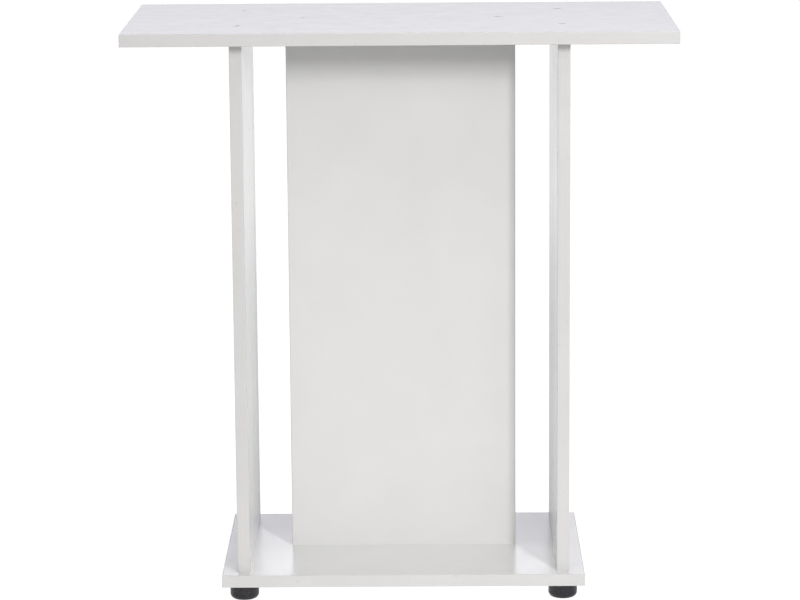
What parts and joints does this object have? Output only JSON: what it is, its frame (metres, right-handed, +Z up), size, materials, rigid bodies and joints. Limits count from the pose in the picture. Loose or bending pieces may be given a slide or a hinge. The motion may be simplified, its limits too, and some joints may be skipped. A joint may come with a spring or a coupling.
{
  "type": "aquarium stand",
  "caption": "Open aquarium stand: a wide white top board on side uprights and a centre panel, over a smaller base board with black screw-in levelling feet.",
  "frame": {"origin": "on the floor, under the middle of the stand", "axes": "+Z up, +X to the right along the width when seen from the front, +Y from the front to the rear"},
  "size_m": [0.7, 0.35, 0.742],
  "materials": {
    "white_melamine": "white melamine-faced chipboard, fine satin texture",
    "white_edge_band": "white plastic edge band, satin",
    "zinc_steel": "bright zinc plate",
    "beech": "bare beech",
    "brass_insert": "plain brass",
    "black_plastic": "moulded black plastic, soft gloss"
  },
  "bodies": {
    "stand": {"top_board": "white_melamine", "top_band_front": "white_edge_band", "top_band_rear": "white_edge_band", "top_band_left": "white_edge_band", "top_band_right": "white_edge_band", "base_board": "white_melamine", "base_band_front": "white_edge_band", "base_band_rear": "white_edge_band", "base_band_left": "white_edge_band", "base_band_right": "white_edge_band", "left_upright": "white_melamine", "left_upright_band_front": "white_edge_band", "left_upright_band_rear": "white_edge_band", "right_upright": "white_melamine", "right_upright_band_front": "white_edge_band", "right_upright_band_rear": "white_edge_band", "centre_panel": "white_melamine", "panel_band_left": "white_edge_band", "panel_band_right": "white_edge_band", "top_screw_left_front": "zinc_steel", "top_screw_left_rear": "zinc_steel", "top_screw_right_front": "zinc_steel", "top_screw_right_rear": "zinc_steel", "top_screw_panel_left": "zinc_steel", "top_screw_panel_right": "zinc_steel", "base_screw_left_front": "zinc_steel", "base_screw_left_rear": "zinc_steel", "base_screw_right_front": "zinc_steel", "base_screw_right_rear": "zinc_steel", "base_screw_panel_left": "zinc_steel", "base_screw_panel_right": "zinc_steel", "top_dowel_left": "beech", "top_dowel_right": "beech", "top_dowel_panel_left": "beech", "top_dowel_panel_right": "beech", "base_dowel_left": "beech", "base_dowel_right": "beech", "base_dowel_panel_left": "beech", "base_dowel_panel_right": "beech", "foot_insert_front_left": "brass_insert", "foot_insert_front_right": "brass_insert", "foot_insert_rear_left": "brass_insert", "foot_insert_rear_right": "brass_insert"},
    "front_left_stem": {"foot_stem_front_left": "zinc_steel"},
    "front_left_pad": {"foot_pad_front_left": "black_plastic"},
    "front_right_stem": {"foot_stem_front_right": "zinc_steel"},
    "front_right_pad": {"foot_pad_front_right": "black_plastic"},
    "rear_left_stem": {"foot_stem_rear_left": "zinc_steel"},
    "rear_left_pad": {"foot_pad_rear_left": "black_plastic"},
    "rear_right_stem": {"foot_stem_rear_right": "zinc_steel"},
    "rear_right_pad": {"foot_pad_rear_right": "black_plastic"}
  },
  "joints": [
    {"name": "front_left_height", "type": "slide", "parent": "stand", "child": "front_left_stem", "axis": [0, 0, -1], "range_m": [0, 0.006]},
    {"name": "front_left_turn", "type": "hinge", "parent": "front_left_stem", "child": "front_left_pad", "pos_m": [-0.207, -0.13, 0], "axis": [0, 0, -1], "range_deg": [0, 1728]},
    {"name": "front_right_height", "type": "slide", "parent": "stand", "child": "front_right_stem", "axis": [0, 0, -1], "range_m": [0, 0.006]},
    {"name": "front_right_turn", "type": "hinge", "parent": "front_right_stem", "child": "front_right_pad", "pos_m": [0.207, -0.13, 0], "axis": [0, 0, -1], "range_deg": [0, 1728]},
    {"name": "rear_left_height", "type": "slide", "parent": "stand", "child": "rear_left_stem", "axis": [0, 0, -1], "range_m": [0, 0.006]},
    {"name": "rear_left_turn", "type": "hinge", "parent": "rear_left_stem", "child": "rear_left_pad", "pos_m": [-0.207, 0.13, 0], "axis": [0, 0, -1], "range_deg": [0, 1728]},
    {"name": "rear_right_height", "type": "slide", "parent": "stand", "child": "rear_right_stem", "axis": [0, 0, -1], "range_m": [0, 0.006]},
    {"name": "rear_right_turn", "type": "hinge", "parent": "rear_right_stem", "child": "rear_right_pad", "pos_m": [0.207, 0.13, 0], "axis": [0, 0, -1], "range_deg": [0, 1728]}
  ],
  "couplings": [
    {"joint": "front_left_height", "follows": "front_left_turn", "m_per_rad": 0.00019894},
    {"joint": "front_right_height", "follows": "front_right_turn", "m_per_rad": 0.00019894},
    {"joint": "rear_left_height", "follows": "rear_left_turn", "m_per_rad": 0.00019894},
    {"joint": "rear_right_height", "follows": "rear_right_turn", "m_per_rad": 0.00019894}
  ]
}
